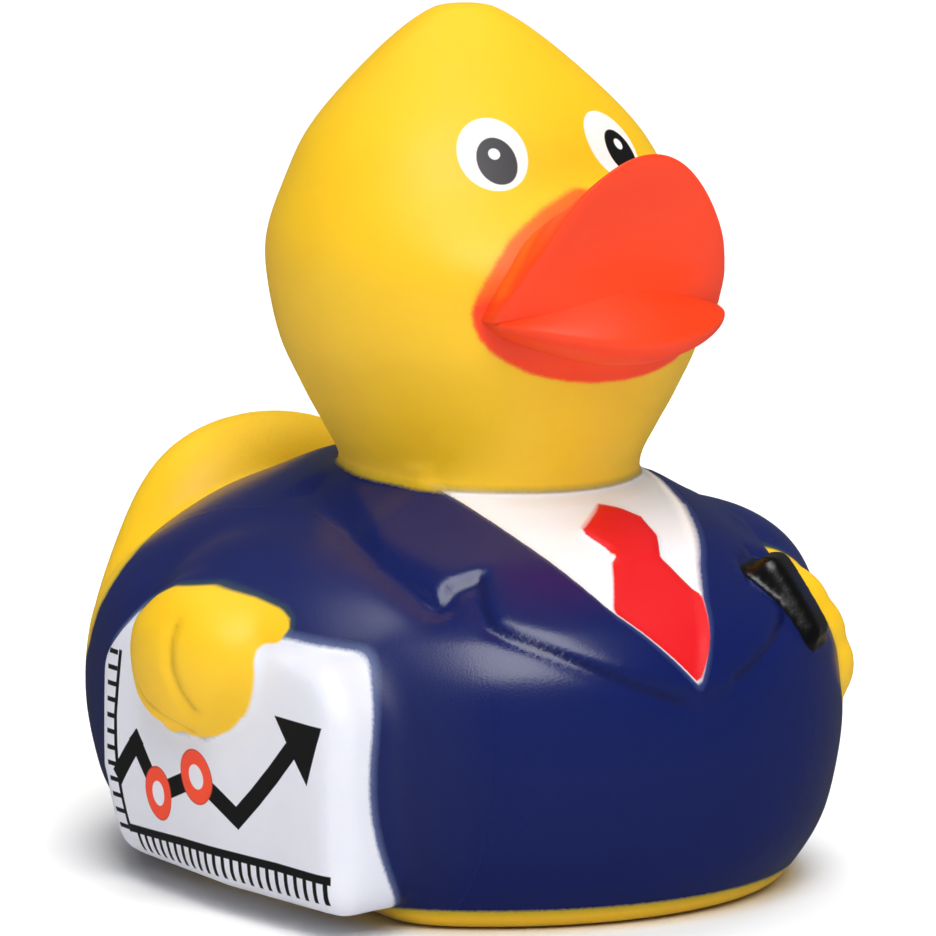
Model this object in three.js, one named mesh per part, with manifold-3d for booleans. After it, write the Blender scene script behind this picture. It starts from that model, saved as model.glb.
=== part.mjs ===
// Office rubber duck: a hollow vinyl squeeze toy dressed in a jacket, a shirt and a tie.
// It carries a board under its right arm and a telephone in its left hand, all in one moulding.
// A squeaker of four small pieces is pressed into the round hole of its flat base.
//
// Millimetres, +Z up, standing on z = 0. The duck looks along -Y, so its right side is at -X.
// Forms are placed from the upright line through the neck, and the whole is centred at the end.

import * as THREE from "three";
import { mergeVertices } from "three/addons/utils/BufferGeometryUtils.js";
import Module from "manifold-3d";

// Vinyl wall and relief
const WALL = 2;
const RELIEF = 0.5;

// Body
const BODY_RADIUS = 34.5;
const BODY_HEIGHT = 39.8;
const BASE_RADIUS = 26.5;
const REAR_REACH = 14.5;
const NECK_TILT = 0.058;
const FRONT_DROP = 0.25;

// Neck and head
const NECK_RADIUS = 14.6;
const HEAD_RADIUS = 21.7;
const HEAD_HEIGHT = 45.2;
const CROWN_LEAN = 4.4;
const FOREHEAD_DEPTH = 0.76;
const BACK_DEPTH = 0.9;

// Bill
const BILL_HALF_WIDTH = 13.9;
const BILL_ROOT_HALF = [13.9, 7.8, 10];
const BILL_ROOT_SINK = 9.1;
const UPPER_BILL_HEIGHT = 13.8;
const UPPER_BILL_THICKNESS = 2.6;
const UPPER_BILL_PROUD = 0.8;
const LOWER_BILL_HALF_WIDTH = 15.1;
const LOWER_BILL_REACH = 11.6;
const LOWER_BILL_THICKNESS = 5.4;
const LOWER_BILL_SINK = 8.5;
const LOWER_BILL_DROP = 1.5;
const LOWER_BILL_SLOPE = 0.5;
const BILL_LEAN = 0.2;
const BILL_CURL = 0.0165;
const UPPER_BILL_WRAP = 0.0068;
const LOWER_BILL_WRAP = 0.004;

// Tail
const TAIL_HALF_WIDTH = 21.5;
const TAIL_HEIGHT = 41.4;
const TAIL_THICKNESS = 19;
const TAIL_SLOPE = 0.12;
const TAIL_SETBACK = 2.5;

// Arms and what they hold
const ARM_THICKNESS = 9.3;
const SHOULDER_SINK = 14.5;
const RIGHT_ARM = { side: -1, forward: 0.5, halfLength: 19, halfWidth: 15 };
const LEFT_ARM = { side: 1, forward: 4, halfLength: 15, halfWidth: 12.5 };
const HAND_THICKNESS = 6.2;
const FINGER_LENGTH = 8.6;
const FINGER_SPACING = 4.7;
const RIGHT_HAND = { x: -33.3, y: 0.5, z: 24.7, turn: 0 };
const LEFT_HAND = { x: 20.3, y: -16.3, z: 22.6, turn: 0.9 };
const BOARD = { length: 41, height: 25.6, thickness: 9, edge: 1.8, swell: 1.2, tuck: 22 };
const BOARD_TILT = 1.8;
const BOARD_FOOT = 1.2;
const BOARD_PROUD = 1.7;
const PHONE = { length: 12, height: 8, thickness: 5, edge: 1.3, swell: 0.4 };
const PHONE_PLACE = { reach: 29.8, bearing: 33.5, height: 27.9, slope: 58, turn: 38 };

// Squeaker and the hole it is pressed into
const HOLE_RADIUS = 7;
const SEAT_RADIUS = 9;
const SEAT_DEPTH = 1.6;
const LIP_THICKNESS = 2;
const SQUEAKER_HEIGHT = 10;
const REED_BORE = 2.8;
const REED_THICKNESS = 0.4;
const CLEARANCE = 0.3;

// Heights on the head, as shares of its height above the shoulders
const BILL_LEVEL = 0.42;
const CHEEK_LEVEL = 0.49;
const BROW_LEVEL = 0.69;

const wasm = await Module();
wasm.setup();

// Closed solid from a three.js geometry
function solid(geometry) {
  const bare = geometry.clone();
  bare.deleteAttribute("normal");
  bare.deleteAttribute("uv");
  const merged = mergeVertices(bare, 1e-4);
  const mesh = new wasm.Mesh({
    numProp: 3,
    vertProperties: new Float32Array(merged.attributes.position.array),
    triVerts: new Uint32Array(merged.index.array),
  });
  return new wasm.Manifold(mesh);
}

// Three.js geometry from a closed solid
function geometryOf(manifold) {
  const mesh = manifold.getMesh();
  const geometry = new THREE.BufferGeometry();
  geometry.setAttribute("position", new THREE.BufferAttribute(new Float32Array(mesh.vertProperties), 3));
  geometry.setIndex(new THREE.BufferAttribute(new Uint32Array(mesh.triVerts), 1));
  geometry.computeVertexNormals();
  return geometry;
}

// One solid from several that overlap
function join(geometries) {
  return geometries.map(solid).reduce((whole, form) => whole.add(form));
}

// Moves each vertex of a geometry by a formula
function reshape(geometry, move) {
  const position = geometry.attributes.position;
  const point = new THREE.Vector3();
  for (let i = 0; i < position.count; i += 1) {
    point.fromBufferAttribute(position, i);
    move(point);
    position.setXYZ(i, point.x, point.y, point.z);
  }
  return geometry;
}

// Height on the head at a share of the way from the shoulders to the crown
function headLevel(share) {
  return BODY_HEIGHT + share * HEAD_HEIGHT;
}

// Number raised to a power with its sign kept
function signedPower(value, power) {
  return Math.sign(value) * Math.abs(value) ** power;
}

// Revolves a smooth profile of radius and height, drawn in by the inset, about the Z axis
function revolve(profile, inset, rings, segments) {
  const curve = new THREE.SplineCurve(profile.map(([radius, height]) => new THREE.Vector2(radius, height)));
  const outline = [];
  for (let i = 0; i <= rings; i += 1) {
    const point = curve.getPoint(i / rings);
    const tangent = curve.getTangent(i / rings);
    point.x = Math.max(point.x - inset * tangent.y, 0);
    point.y += inset * tangent.x;
    outline.push(point);
  }
  outline.unshift(new THREE.Vector2(0, outline[0].y));
  outline.push(new THREE.Vector2(0, outline[rings + 1].y));
  return new THREE.LatheGeometry(outline, segments).rotateX(Math.PI / 2);
}

// Ellipsoid with its own centre and half sizes
function ellipsoid(centre, half, segments = 20) {
  const geometry = new THREE.SphereGeometry(1, segments, Math.round(segments * 0.6));
  return geometry.scale(...half).translate(...centre);
}

// Flat disc with a blunt round edge, lying in the XY plane
function disc(halfWidth, halfReach, thickness) {
  const geometry = new THREE.SphereGeometry(1, 26, 14).rotateX(Math.PI / 2);
  return reshape(geometry, (p) => {
    const spread = Math.hypot(p.x, p.y) ** -0.2;
    p.x *= halfWidth * spread;
    p.y *= halfReach * spread;
    p.z = 0.5 * thickness * signedPower(p.z, 0.7);
  });
}

// Slab with rounded edges, its face at +Z swelling towards the middle
function slab({ length, height, thickness, edge, swell }) {
  const half = new THREE.Vector3(length, height, thickness).multiplyScalar(0.5);
  const core = half.clone().subScalar(edge);
  const low = core.clone().negate();
  const near = new THREE.Vector3();
  const crowd = (share) => Math.sin(0.5 * Math.PI * share);
  return reshape(new THREE.BoxGeometry(2, 2, 2, 8, 8, 4), (p) => {
    const face = p.z > 0 ? swell * (1 - p.x ** 2) * (1 - p.y ** 2) : 0;
    p.set(crowd(p.x), crowd(p.y), p.z).multiply(half);
    near.copy(p).clamp(low, core);
    p.sub(near).setLength(edge).add(near);
    p.z += face;
  });
}

// Round body, flat below and drawn out towards the tail
function bodyForm(inset = 0) {
  const profile = [
    [BASE_RADIUS, 0],
    [BASE_RADIUS + 2.4, 1],
    [BODY_RADIUS - 2.4, 5.4],
    [BODY_RADIUS - 0.9, 9.8],
    [BODY_RADIUS, 0.41 * BODY_HEIGHT],
    [BODY_RADIUS - 0.6, 0.59 * BODY_HEIGHT],
    [BODY_RADIUS - 2.6, 0.7 * BODY_HEIGHT],
    [BODY_RADIUS - 6, 0.79 * BODY_HEIGHT],
    [NECK_RADIUS + 9.4, 0.88 * BODY_HEIGHT],
    [NECK_RADIUS + 5, 0.945 * BODY_HEIGHT],
    [NECK_RADIUS + 1.2, BODY_HEIGHT],
    [NECK_RADIUS - 1, BODY_HEIGHT + 0.6],
  ];
  const hollow = inset > 0;
  const geometry = revolve(profile, inset, hollow ? 13 : 20, hollow ? 32 : 60);
  return reshape(geometry, (p) => {
    const top = THREE.MathUtils.smoothstep(p.z, 0.6 * BODY_HEIGHT, BODY_HEIGHT);
    const back = Math.max(p.y, 0) / BODY_RADIUS;
    p.z += top * (NECK_TILT * p.y - FRONT_DROP);
    p.y += REAR_REACH * back ** 1.3;
  });
}

// Onion-shaped head on a short neck, its forehead flattened and its crown leaning back
function headForm(inset = 0) {
  const profile = [
    [NECK_RADIUS, BODY_HEIGHT - 3],
    [NECK_RADIUS, BODY_HEIGHT + 1.4],
    [NECK_RADIUS + 1.5, headLevel(0.102)],
    [HEAD_RADIUS - 3.1, headLevel(0.188)],
    [HEAD_RADIUS - 0.8, headLevel(0.314)],
    [HEAD_RADIUS, headLevel(CHEEK_LEVEL)],
    [HEAD_RADIUS - 1.8, headLevel(0.635)],
    [HEAD_RADIUS * 0.77, headLevel(0.757)],
    [HEAD_RADIUS * 0.44, headLevel(0.907)],
    [HEAD_RADIUS * 0.18, headLevel(0.989)],
    [0, headLevel(1)],
  ];
  const hollow = inset > 0;
  const geometry = revolve(profile, inset, hollow ? 13 : 22, hollow ? 30 : 52);
  return reshape(geometry, (p) => {
    const brow = THREE.MathUtils.smoothstep(p.z, headLevel(0.45), headLevel(BROW_LEVEL));
    const rise = Math.max(p.z - headLevel(0.22), 0) / (0.78 * HEAD_HEIGHT);
    p.y *= 1 - brow * (1 - (p.y < 0 ? FOREHEAD_DEPTH : BACK_DEPTH));
    p.y += CROWN_LEAN * rise ** 1.6;
  });
}

// Broad upturned tail
function tailForm(inset = 0) {
  const middle = 0.55 * TAIL_HEIGHT;
  const half = [TAIL_HALF_WIDTH, 0.5 * TAIL_THICKNESS, TAIL_HEIGHT - middle].map((size) => size - inset);
  const seat = BODY_RADIUS + TAIL_SETBACK;
  return reshape(ellipsoid([0, 0, 0], half, inset > 0 ? 16 : 26), (p) => {
    p.y += seat + TAIL_SLOPE * p.z;
    p.z += middle;
  });
}

// Rounded swelling of the face that carries the bill
function billRoot() {
  return ellipsoid([0, BILL_ROOT_SINK - HEAD_RADIUS, headLevel(BILL_LEVEL)], BILL_ROOT_HALF, 26);
}

// Upper bill, curled up so far that its inner face looks forward
function upperBill() {
  const geometry = disc(BILL_HALF_WIDTH, UPPER_BILL_HEIGHT, UPPER_BILL_THICKNESS).rotateX(Math.PI / 2);
  const seat = HEAD_RADIUS - 0.5 * UPPER_BILL_THICKNESS - UPPER_BILL_PROUD;
  return reshape(geometry, (p) => {
    const rise = p.z > 0 ? p.z : 0.5 * p.z;
    const curl = BILL_LEAN * rise + BILL_CURL * rise * Math.abs(rise);
    p.y += UPPER_BILL_WRAP * p.x ** 2 - seat - curl;
    p.z = headLevel(BILL_LEVEL) + rise;
  });
}

// Lower bill, a lip that slopes down to the front
function lowerBill() {
  const seat = HEAD_RADIUS - LOWER_BILL_SINK;
  const level = headLevel(BILL_LEVEL) - LOWER_BILL_DROP;
  return reshape(disc(LOWER_BILL_HALF_WIDTH, LOWER_BILL_REACH, LOWER_BILL_THICKNESS), (p) => {
    const slope = LOWER_BILL_SLOPE * Math.max(-p.y - 5, 0);
    p.y -= seat;
    p.z += level - slope - LOWER_BILL_WRAP * p.x ** 2;
  });
}

// Arm that swells out of the shoulder, on the side given by the sign of x
function arm({ side, forward, halfLength, halfWidth }) {
  const centre = [side * (BODY_RADIUS - SHOULDER_SINK), -forward, 0.68 * BODY_HEIGHT];
  return ellipsoid(centre, [halfWidth, halfLength, ARM_THICKNESS], 26);
}

// Mitten hand of three fingers side by side, pointing down
function hand({ x, y, z, turn }) {
  const fingers = [-1, 0, 1].map((place) => {
    const half = [HAND_THICKNESS - Math.abs(place), FINGER_SPACING, FINGER_LENGTH - 1.2 * Math.abs(place)];
    return ellipsoid([0, FINGER_SPACING * place, 0], half, 16);
  });
  return fingers.map((finger) => finger.rotateZ(turn).translate(x, y, z));
}

// Board held against the right side, printed face outward, its rear lower corner tucked in
function board() {
  const geometry = reshape(slab(BOARD), (p) => {
    const back = Math.max(-p.x / BOARD.length, 0);
    const low = Math.max(-p.y / BOARD.height, 0);
    p.z -= p.z > 0 ? BOARD.tuck * back * low ** 2 : 0;
  });
  const tilt = THREE.MathUtils.degToRad(BOARD_TILT);
  geometry.rotateX(Math.PI / 2).rotateY(tilt).rotateZ(-Math.PI / 2);
  const lift = 0.5 * BOARD.height + 0.5 * BOARD.length * Math.sin(tilt) + BOARD_FOOT;
  return geometry.translate(0.5 * BOARD.thickness + BOARD_PROUD - BODY_RADIUS, -0.8, lift);
}

// Telephone lying on the chest in front of the left hand
function phone() {
  const [slope, turn, bearing] = [PHONE_PLACE.slope, PHONE_PLACE.turn, PHONE_PLACE.bearing].map(
    THREE.MathUtils.degToRad,
  );
  const geometry = slab(PHONE).rotateZ(Math.PI / 2).rotateX(slope).rotateZ(turn);
  const [x, y] = [PHONE_PLACE.reach * Math.sin(bearing), -PHONE_PLACE.reach * Math.cos(bearing)];
  return geometry.translate(x, y, PHONE_PLACE.height);
}

// Raised patch of the chest inside an outline drawn from the front
function relief(outline, height) {
  const shape = new THREE.Shape(outline.map(([x, z]) => new THREE.Vector2(x, z)));
  const prism = new THREE.ExtrudeGeometry(shape, { depth: 1.5 * BODY_RADIUS, bevelEnabled: false });
  return solid(prism.rotateX(Math.PI / 2)).intersect(solid(bodyForm(-height)));
}

// Jacket lapel with its notch, on the side given by the sign of x, just past the middle at its foot
function lapel(side) {
  const top = BODY_HEIGHT + 2;
  const outline = [
    [-0.5, BODY_HEIGHT - 18.8],
    [9.5, BODY_HEIGHT - 15.2],
    [17.6, BODY_HEIGHT - 10],
    [15.7, BODY_HEIGHT - 6.5],
    [20.6, BODY_HEIGHT - 9],
    [21.4, BODY_HEIGHT - 5.4],
    [18.5, BODY_HEIGHT - 1.6],
    [14.8, top],
    [NECK_RADIUS - 1.6, top],
    [10.6, BODY_HEIGHT - 3.6],
    [8.3, BODY_HEIGHT - 6.4],
    [5.1, BODY_HEIGHT - 11.2],
    [-0.5, BODY_HEIGHT - 17.4],
  ];
  return relief(outline.map(([x, z]) => [side * x, z]), RELIEF);
}

// Tie: a knot under the collar and a blade that widens to the point of the jacket
function tie() {
  const knot = [
    [-4.2, BODY_HEIGHT - 2.8],
    [-2.4, BODY_HEIGHT - 5],
    [2.4, BODY_HEIGHT - 5],
    [4.2, BODY_HEIGHT - 2.8],
    [2.6, BODY_HEIGHT + 1],
    [-2.6, BODY_HEIGHT + 1],
  ];
  const blade = [
    [-2.4, BODY_HEIGHT - 4.6],
    [-5.4, BODY_HEIGHT - 10.6],
    [0, BODY_HEIGHT - 17],
    [5.4, BODY_HEIGHT - 10.6],
    [2.4, BODY_HEIGHT - 4.6],
  ];
  return relief(knot, 2 * RELIEF).add(relief(blade, RELIEF));
}

// Shirt collar wings beside the knot
function shirtCollar(side) {
  const outline = [
    [3.2, BODY_HEIGHT + 1],
    [4.4, BODY_HEIGHT - 2.8],
    [8.6, BODY_HEIGHT - 4.8],
    [10, BODY_HEIGHT + 1],
  ];
  return relief(outline.map(([x, z]) => [side * x, z]), 0.6 * RELIEF);
}

// Whole outside of the moulding, with any pocket that the forms enclose filled
function outside() {
  const forms = [
    bodyForm(),
    headForm(),
    tailForm(),
    billRoot(),
    upperBill(),
    lowerBill(),
    arm(RIGHT_ARM),
    arm(LEFT_ARM),
    ...hand(RIGHT_HAND),
    ...hand(LEFT_HAND),
    board(),
    phone(),
  ];
  const patches = [lapel(-1), lapel(1), tie(), shirtCollar(-1), shirtCollar(1)];
  const joined = patches.reduce((whole, patch) => whole.add(patch), join(forms));
  const skins = joined.decompose().sort((a, b) => b.volume() - a.volume());
  return skins[0];
}

// Disc or pin on the Z axis between two heights
function round(radius, low, high, segments = 40) {
  const geometry = new THREE.CylinderGeometry(radius, radius, high - low, segments);
  return geometry.rotateX(Math.PI / 2).translate(0, 0, 0.5 * (low + high));
}

const baseThickness = SEAT_DEPTH + LIP_THICKNESS;

// Hollow moulding with its thickened base, and the stepped hole for the squeaker
function shellSolid() {
  const hollow = join([bodyForm(WALL), headForm(WALL), tailForm(WALL)]);
  const boss = solid(round(SEAT_RADIUS + 2, 0.5 * WALL, baseThickness));
  const hole = join([round(HOLE_RADIUS, -1, baseThickness + 1), round(SEAT_RADIUS, -1, SEAT_DEPTH)]);
  return outside().subtract(hollow).add(boss).subtract(hole);
}

// Squeaker body: a flange in the seat, a neck through the hole and a barb behind its lip
function squeakerBody() {
  const neck = HOLE_RADIUS - CLEARANCE;
  const flange = SEAT_RADIUS - CLEARANCE;
  const barb = HOLE_RADIUS + 0.7;
  const profile = [
    [REED_BORE, CLEARANCE],
    [flange, CLEARANCE],
    [flange, SEAT_DEPTH - CLEARANCE],
    [neck, SEAT_DEPTH - CLEARANCE],
    [neck, baseThickness + CLEARANCE],
    [barb, baseThickness + CLEARANCE],
    [barb, baseThickness + 1.2],
    [neck - 0.8, SQUEAKER_HEIGHT - 1],
    [neck - 1.6, SQUEAKER_HEIGHT],
    [REED_BORE, SQUEAKER_HEIGHT],
    [REED_BORE, CLEARANCE],
  ];
  const points = profile.map(([radius, height]) => new THREE.Vector2(radius, height));
  return new THREE.LatheGeometry(points, 48).rotateX(Math.PI / 2);
}

// Half-round insert that fills one side of the bore, its flat face towards the reed
function reedHalf(side, low, high) {
  const radius = REED_BORE - CLEARANCE;
  const face = 0.5 * REED_THICKNESS + CLEARANCE;
  const start = Math.asin(face / radius);
  const shape = new THREE.Shape();
  shape.absarc(0, 0, radius, start, Math.PI - start);
  const geometry = new THREE.ExtrudeGeometry(shape, { depth: high - low, bevelEnabled: false, curveSegments: 16 });
  return geometry.rotateZ(side > 0 ? 0 : Math.PI).translate(0, 0, low);
}

// Lower half of the reed holder, with the air channel cut along its flat face
function reedBase() {
  const low = 2 * CLEARANCE;
  const channel = new THREE.BoxGeometry(1.6, 2, 0.7 * SQUEAKER_HEIGHT);
  channel.translate(0, -0.5 * REED_THICKNESS, low + 0.35 * SQUEAKER_HEIGHT - 0.5);
  return geometryOf(solid(reedHalf(-1, low, SQUEAKER_HEIGHT - 0.4)).subtract(solid(channel)));
}

// Thin strip that sounds as the air passes it
function reedStrip() {
  const width = 2 * (REED_BORE - 3 * CLEARANCE);
  return new THREE.BoxGeometry(width, REED_THICKNESS, 0.8 * SQUEAKER_HEIGHT).translate(0, 0, 0.52 * SQUEAKER_HEIGHT);
}

// Named mesh with its own material
function piece(name, geometry, color, roughness) {
  const mesh = new THREE.Mesh(geometry, new THREE.MeshStandardMaterial({ color, roughness, metalness: 0 }));
  mesh.name = name;
  return mesh;
}

const assembly = new THREE.Group();
assembly.add(piece("duck_shell", geometryOf(shellSolid()), "#f2cf1c", 0.45));
assembly.add(piece("squeaker_body", squeakerBody(), "#f1f0ea", 0.35));
assembly.add(piece("reed_base", reedBase(), "#e8e6df", 0.35));
assembly.add(piece("reed_strip", reedStrip(), "#d9d5c8", 0.3));
assembly.add(piece("reed_clamp", reedHalf(1, 0.45 * SQUEAKER_HEIGHT, SQUEAKER_HEIGHT - 0.4), "#e8e6df", 0.35));

// The origin is under the middle of the whole, on the surface it stands on
const box = new THREE.Box3().setFromObject(assembly);
assembly.position.set(-0.5 * (box.min.x + box.max.x), -0.5 * (box.min.y + box.max.y), 0);

const duck = new THREE.Group();
duck.add(assembly);

export default duck;
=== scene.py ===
"""Office rubber duck: soft vinyl, moulded in one piece, spray painted, with a squeaker in its base."""

import math

import bmesh
import bpy
import numpy as np
from mathutils import Matrix, Vector


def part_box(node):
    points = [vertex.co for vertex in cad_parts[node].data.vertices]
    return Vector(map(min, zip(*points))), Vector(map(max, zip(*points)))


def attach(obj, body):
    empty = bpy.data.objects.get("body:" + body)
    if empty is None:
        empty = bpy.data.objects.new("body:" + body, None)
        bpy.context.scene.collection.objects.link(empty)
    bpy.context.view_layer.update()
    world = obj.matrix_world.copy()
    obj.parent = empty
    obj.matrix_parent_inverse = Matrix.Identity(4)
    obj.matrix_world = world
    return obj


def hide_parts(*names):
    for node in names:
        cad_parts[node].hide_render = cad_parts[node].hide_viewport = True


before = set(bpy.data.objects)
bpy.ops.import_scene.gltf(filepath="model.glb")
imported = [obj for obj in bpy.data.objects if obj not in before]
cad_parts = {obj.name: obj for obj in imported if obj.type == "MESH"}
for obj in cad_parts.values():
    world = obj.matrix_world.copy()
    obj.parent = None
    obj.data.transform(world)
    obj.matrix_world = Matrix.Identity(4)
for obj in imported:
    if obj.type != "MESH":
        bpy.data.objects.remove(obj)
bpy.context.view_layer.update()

MM = 0.001

# Sizes of the moulding in millimetres, measured from the upright line through the neck.
# The duck looks along -Y, its right side is at -X, and it stands on z = 0.
BODY_RADIUS = 34.4
BODY_HEIGHT = 39.8
BASE_RADIUS = 26.5
REAR_REACH = 14.38
NECK_RADIUS = 14.6
HEAD_RADIUS = 21.7
HEAD_HEIGHT = 45.2
CROWN_LEAN = 4.4
FOREHEAD_DEPTH = 0.76
TAIL_HALF_WIDTH = 21.5
TAIL_HEIGHT = 41.4
TAIL_THICKNESS = 19
BOARD_HALF = np.array((20.5, 12.7, 4.5))
BOARD_EDGE = 2.4
BOARD_SWELL = 1.2
BOARD_TUCK = 22
BOARD_CENTRE = np.array((-28.3, -0.8, 15.0))
PHONE_HALF = (4.9, 3.0, 2.4)
PHONE_EDGE = 1.3
SEAT_RADIUS = 9
SEAT_DEPTH = 1.6
SKIN_STEP = 0.55
# Rise of the body's top per millimetre towards the back, and lean of the tail per millimetre of height
NECK_TILT = 0.058
TAIL_LEAN = 0.12

seat_low, seat_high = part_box("squeaker_body")
AXIS = 0.5 * (seat_low + seat_high)


# Helpers for shapes

def smoothstep(value, low, high):
    t = np.clip((value - low) / (high - low), 0, 1)
    return t * t * (3 - 2 * t)


def head_level(share):
    return BODY_HEIGHT + share * HEAD_HEIGHT


def spline(points, steps):
    """Smooth curve through the points."""
    p = np.array(points, float)
    curve = []
    for i in range(steps + 1):
        t = i / steps * (len(p) - 1)
        k = min(int(t), len(p) - 2)
        w = t - k
        before, a, b, after = p[max(k - 1, 0)], p[k], p[k + 1], p[min(k + 2, len(p) - 1)]
        u, v = 0.5 * (b - before), 0.5 * (after - a)
        curve.append((2 * a - 2 * b + u + v) * w**3 + (3 * b - 3 * a - 2 * u - v) * w**2 + u * w + a)
    return np.array(curve)


def moved(bm, move):
    """Passes all vertices through a formula on an (n, 3) array."""
    place = np.array([v.co for v in bm.verts])
    for vertex, co in zip(bm.verts, move(place.copy())):
        vertex.co = co
    return bm


def joined(forms, name):
    """One mesh of several shapes."""
    whole = bmesh.new()
    for form in forms:
        part = bpy.data.meshes.new("form")
        form.to_mesh(part)
        form.free()
        whole.from_mesh(part)
        bpy.data.meshes.remove(part)
    mesh = bpy.data.meshes.new(name)
    whole.to_mesh(mesh)
    whole.free()
    return mesh


def lathe(profile, steps, segments):
    """Closed solid of revolution from a profile of radius and height."""
    bm = bmesh.new()
    line = [(0, profile[0][1]), *spline(profile, steps), (0, profile[-1][1])]
    verts = [bm.verts.new((r, 0, z)) for r, z in line]
    edges = [bm.edges.new(pair) for pair in zip(verts, verts[1:])]
    bmesh.ops.spin(
        bm, geom=verts + edges, cent=(0, 0, 0), axis=(0, 0, 1), angle=2 * math.pi, steps=segments,
        use_merge=True,
    )
    bmesh.ops.remove_doubles(bm, verts=bm.verts, dist=1e-4)
    bmesh.ops.recalc_face_normals(bm, faces=bm.faces)
    return bm


def ellipsoid(centre, half, turn=0.0):
    bm = bmesh.new()
    bmesh.ops.create_icosphere(bm, subdivisions=5, radius=1)
    place = Matrix.Translation(centre) @ Matrix.Rotation(turn, 4, "Z") @ Matrix.Diagonal((*half, 1))
    bmesh.ops.transform(bm, matrix=place, verts=bm.verts)
    return bm


def slab(half, edge, swell):
    """Slab with rounded edges, its face at +Z swelling towards the middle."""
    bm = bmesh.new()
    bmesh.ops.create_cube(bm, size=2)
    bmesh.ops.subdivide_edges(bm, edges=bm.edges, cuts=23, use_grid_fill=True)
    half = np.array(half)

    def round_edges(p):
        face = np.where(p[:, 2] > 0.99, swell * (1 - p[:, 0] ** 2) * (1 - p[:, 1] ** 2), 0)
        p = np.sin(0.5 * math.pi * p) * half
        near = np.clip(p, edge - half, half - edge)
        out = p - near
        p = near + edge * out / np.maximum(np.linalg.norm(out, axis=1), 1e-9)[:, None]
        p[:, 2] += face
        return p

    return moved(bm, round_edges)


# Forms of the moulding

BODY_PROFILE = [
    (BASE_RADIUS, 0),
    (BASE_RADIUS + 2.4, 1),
    (BODY_RADIUS - 2.4, 5.4),
    (BODY_RADIUS - 0.9, 9.8),
    (BODY_RADIUS, 0.41 * BODY_HEIGHT),
    (BODY_RADIUS - 0.6, 0.59 * BODY_HEIGHT),
    (BODY_RADIUS - 2.6, 0.7 * BODY_HEIGHT),
    (BODY_RADIUS - 6, 0.79 * BODY_HEIGHT),
    (NECK_RADIUS + 9.4, 0.88 * BODY_HEIGHT),
    (NECK_RADIUS + 5, 0.945 * BODY_HEIGHT),
    (NECK_RADIUS + 1.2, BODY_HEIGHT),
    (NECK_RADIUS - 1, BODY_HEIGHT + 0.6),
]

HEAD_PROFILE = [
    (NECK_RADIUS, BODY_HEIGHT - 3),
    (NECK_RADIUS, BODY_HEIGHT + 1.4),
    (NECK_RADIUS + 1.5, head_level(0.102)),
    (HEAD_RADIUS - 3.5, head_level(0.188)),
    (HEAD_RADIUS - 1.1, head_level(0.314)),
    (HEAD_RADIUS - 0.3, head_level(0.49)),
    (HEAD_RADIUS - 2.2, head_level(0.635)),
    (HEAD_RADIUS * 0.745, head_level(0.757)),
    (HEAD_RADIUS * 0.415, head_level(0.907)),
    (HEAD_RADIUS * 0.16, head_level(0.989)),
    (0, head_level(1)),
]

# Arms and hands as ellipsoids: centre, half sizes and turn about Z
RIGHT_ARM = ((14.5 - BODY_RADIUS, -0.5, 0.68 * BODY_HEIGHT), (15, 19, 9.3), 0)
LEFT_ARM = ((BODY_RADIUS - 14.5, -4, 0.68 * BODY_HEIGHT), (12.5, 15, 9.3), 0)
RIGHT_HAND = [((-33.3, 0.1, 25.1), (6.2, 9.2, 7.7), 0), ((-33.0, 3.9, 23.1), (5.4, 4.8, 5.9), 0)]
LEFT_HAND = [
    ((21.4, -16.6, 20.9), (5.5, 8.4, 6.3), 0.9), ((20.6, -16.0, 23.8), (6.2, 8.6, 6.0), 0.9),
    ((18.8, -15.2, 26.4), (5.6, 9.0, 5.7), 0.9),
]
# Tail, the root of the bill and the jaw under the bill, as upright ellipsoids
TAIL_CENTRE = (0, BODY_RADIUS + 2.5, 0.55 * TAIL_HEIGHT)
TAIL_HALF = (TAIL_HALF_WIDTH, 0.5 * TAIL_THICKNESS, 0.45 * TAIL_HEIGHT)
ROOT_CENTRE = (0, 9.1 - HEAD_RADIUS, 59.2)
ROOT_HALF = (13.4, 7.7, 9)
JAW_CENTRE = (0, -14.6, 54.4)
JAW_HALF = (12.4, 7.4, 4.2)


def body_form():
    def pull(p):
        p[:, 2] += smoothstep(p[:, 2], 24, BODY_HEIGHT) * (NECK_TILT * p[:, 1] - 0.25)
        corner = 2 * p[:, 0] * p[:, 1] / np.maximum(p[:, 0] ** 2 + p[:, 1] ** 2, 1)
        p[:, :2] *= 1 + 0.021 * np.where(p[:, 1] > 0, corner, 0)[:, None] ** 2
        beside = smoothstep(-p[:, 0], 4, 18) * smoothstep(p[:, 1], -20, -8)
        p[:, 0] *= 1 - 0.2 * beside * (1 - smoothstep(p[:, 2], 0.8, 4.5))
        reach = REAR_REACH * (0.72 + 0.28 * smoothstep(p[:, 2], 0, 9))
        p[:, 1] += reach * (np.maximum(p[:, 1], 0) / BODY_RADIUS) ** 1.3
        return p

    return moved(lathe(BODY_PROFILE, 80, 128), pull)


def crown_lean(z):
    """How far the head leans back at a height."""
    rise = np.maximum(z - head_level(0.22), 0) / (0.78 * HEAD_HEIGHT)
    return CROWN_LEAN * rise**1.6


def brow_depth(y, z):
    """Depth of the head as a share of its round profile: less at the forehead, a little less behind."""
    brow = smoothstep(z, head_level(0.45), head_level(0.69))
    return 1 - brow * np.where(y < 0, 1 - FOREHEAD_DEPTH, 0.1)


def head_form():
    def lean(p):
        y, z = p[:, 1], p[:, 2]
        p[:, 1] = y * brow_depth(y, z) + crown_lean(z)
        return p

    return moved(lathe(HEAD_PROFILE, 80, 112), lean)


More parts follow.
